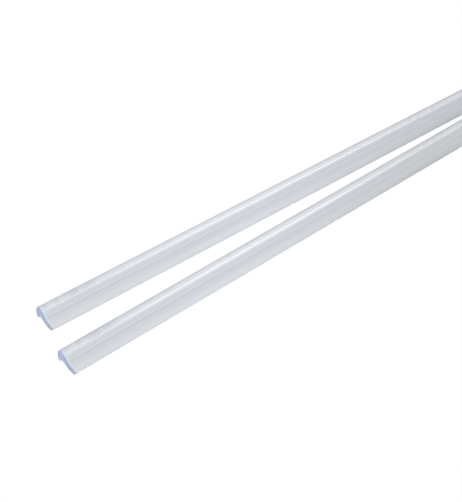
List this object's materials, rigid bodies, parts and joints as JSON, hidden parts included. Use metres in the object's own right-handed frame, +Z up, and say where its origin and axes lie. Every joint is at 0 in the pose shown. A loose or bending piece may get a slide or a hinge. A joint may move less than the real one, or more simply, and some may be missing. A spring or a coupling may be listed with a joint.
{
  "type": "edge-lit led light tube pair",
  "caption": "Long clear hook-section light guides, bare at one end and each plugged into a small LED housing with a push button and power jack, lying side by side.",
  "frame": {"origin": "middle of the flat underside of tube A's housing", "axes": "+X along tube A from its bare end towards its housing and power jack, +Z up, tube B on the -Y side"},
  "size_m": [0.5482, 0.07, 0.0193],
  "materials": {
    "clear_plastic": "clear, faintly blue, solid",
    "housing_plastic": "fine texture",
    "button_plastic": "satin",
    "silicone": "matte",
    "white_board": "white solder mask",
    "green_board": "green solder mask",
    "phosphor": "yellow phosphor",
    "aluminium": "satin",
    "steel": "bright",
    "brass": "bright",
    "black_plastic": "moulded",
    "red_insulation": "smooth"
  },
  "bodies": {
    "tube_a_housing": {"tube_a_housing_base": "housing_plastic", "tube_a_housing_cover": "housing_plastic", "tube_a_grip_pad": "silicone", "tube_a_coupling_pad": "silicone", "tube_a_led_board": "white_board", "tube_a_led_1": "phosphor", "tube_a_led_2": "phosphor", "tube_a_led_3": "phosphor", "tube_a_heat_sink": "aluminium", "tube_a_driver_board": "green_board", "tube_a_driver_inductor": "black_plastic", "tube_a_driver_capacitor": "aluminium", "tube_a_driver_chip": "black_plastic", "tube_a_power_jack": "black_plastic", "tube_a_power_jack_pin": "brass", "tube_a_switch_body": "black_plastic", "tube_a_red_wire": "red_insulation", "tube_a_black_wire": "black_plastic", "tube_a_housing_screw_1": "steel", "tube_a_housing_screw_2": "steel", "tube_a_housing_screw_3": "steel", "tube_a_housing_screw_4": "steel"},
    "tube_a_light_guide": {"tube_a_light_guide": "clear_plastic"},
    "tube_a_button": {"tube_a_push_button": "button_plastic", "tube_a_switch_plunger": "black_plastic"},
    "tube_b_housing": {"tube_b_housing_base": "housing_plastic", "tube_b_housing_cover": "housing_plastic", "tube_b_grip_pad": "silicone", "tube_b_coupling_pad": "silicone", "tube_b_led_board": "white_board", "tube_b_led_1": "phosphor", "tube_b_led_2": "phosphor", "tube_b_led_3": "phosphor", "tube_b_heat_sink": "aluminium", "tube_b_driver_board": "green_board", "tube_b_driver_inductor": "black_plastic", "tube_b_driver_capacitor": "aluminium", "tube_b_driver_chip": "black_plastic", "tube_b_power_jack": "black_plastic", "tube_b_power_jack_pin": "brass", "tube_b_switch_body": "black_plastic", "tube_b_red_wire": "red_insulation", "tube_b_black_wire": "black_plastic", "tube_b_housing_screw_1": "steel", "tube_b_housing_screw_2": "steel", "tube_b_housing_screw_3": "steel", "tube_b_housing_screw_4": "steel"},
    "tube_b_light_guide": {"tube_b_light_guide": "clear_plastic"},
    "tube_b_button": {"tube_b_push_button": "button_plastic", "tube_b_switch_plunger": "black_plastic"}
  },
  "joints": [
    {"name": "tube_b_moves_away", "type": "slide", "parent": "tube_a_housing", "child": "tube_b_housing", "axis": [0, -1, 0], "range_m": [0, 0.1]},
    {"name": "tube_a_light_guide_pull", "type": "slide", "parent": "tube_a_housing", "child": "tube_a_light_guide", "axis": [-1, 0, 0], "range_m": [0, 0.018]},
    {"name": "tube_a_button_press", "type": "slide", "parent": "tube_a_housing", "child": "tube_a_button", "axis": [0, 0, -1], "range_m": [0, 0.0006], "stiffness_N_per_m": 3000},
    {"name": "tube_b_light_guide_pull", "type": "slide", "parent": "tube_b_housing", "child": "tube_b_light_guide", "axis": [-0.9993, -0.0366, 0], "range_m": [0, 0.018]},
    {"name": "tube_b_button_press", "type": "slide", "parent": "tube_b_housing", "child": "tube_b_button", "axis": [0, 0, -1], "range_m": [0, 0.0006], "stiffness_N_per_m": 3000}
  ]
}
